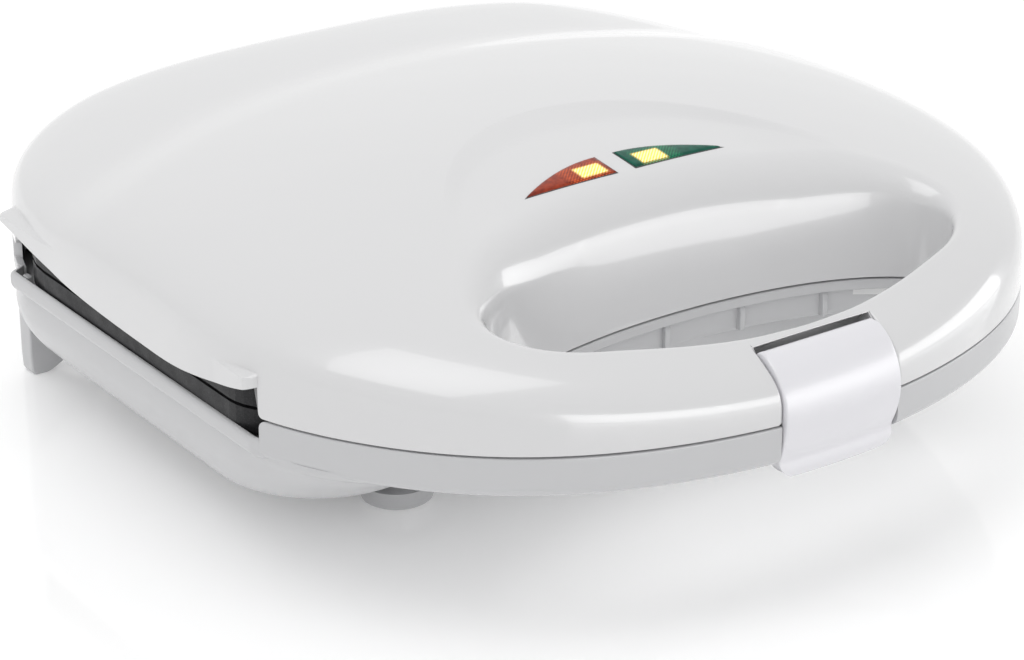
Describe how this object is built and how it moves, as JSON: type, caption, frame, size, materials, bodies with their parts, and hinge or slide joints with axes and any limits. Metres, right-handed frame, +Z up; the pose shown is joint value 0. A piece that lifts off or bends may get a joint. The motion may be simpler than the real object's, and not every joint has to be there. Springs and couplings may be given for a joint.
{
  "type": "sandwich toaster",
  "caption": "Countertop sandwich toaster with a domed hinged lid, front grip hole and latch clip, indicator lenses, and a pair of pocketed cooking plates.",
  "frame": {"origin": "on the surface the toaster stands on, under the middle of its width and depth", "axes": "+X to the right seen from the front, -Y towards the grip and the latch, +Y towards the hinge, +Z up"},
  "size_m": [0.2268, 0.2387, 0.0821],
  "materials": {
    "cover_white": "gloss",
    "clip_plastic": "satin",
    "frame_plastic": "matte",
    "plate_coating": "satin non-stick coating",
    "heater_tube": "oxidised",
    "reflector_sheet": "bright",
    "insulator": "matte",
    "lamp_glass": "clear",
    "red_lens": "gloss translucent",
    "green_lens": "gloss translucent",
    "screw_steel": "zinc plated",
    "wire_sleeve": "braided glass sleeve",
    "pad_rubber": "matte"
  },
  "bodies": {
    "base": {"bottom_cover": "cover_white", "lower_frame": "frame_plastic", "lower_plate": "plate_coating", "lower_heater": "heater_tube", "lower_reflector": "reflector_sheet", "base_hinge_block": "cover_white", "hinge_pins": "screw_steel", "front_feet": "cover_white", "foot_pads": "pad_rubber", "rear_pads": "pad_rubber", "cord_bush": "frame_plastic", "terminal_block": "insulator", "base_wiring": "wire_sleeve", "base_screws": "screw_steel"},
    "lid": {"top_cover": "cover_white", "upper_frame": "frame_plastic", "upper_plate": "plate_coating", "upper_heater": "heater_tube", "upper_reflector": "reflector_sheet", "thermostat": "insulator", "thermal_fuse": "insulator", "lamp_holder": "frame_plastic", "lamps": "lamp_glass", "red_lens": "red_lens", "green_lens": "green_lens", "lid_hinge_arms": "cover_white", "lid_screws": "screw_steel", "lid_wiring": "wire_sleeve", "latch_pin": "screw_steel"},
    "latch": {"latch_clip": "clip_plastic"}
  },
  "joints": [
    {"name": "lid_hinge", "type": "hinge", "parent": "base", "child": "lid", "pos_m": [0, 0.114, 0.0463], "axis": [-1, 0, 0], "range_deg": [0, 105]},
    {"name": "latch_hinge", "type": "hinge", "parent": "lid", "child": "latch", "pos_m": [0, -0.1072, 0.056], "axis": [-1, 0, 0], "range_deg": [0, 50]}
  ]
}
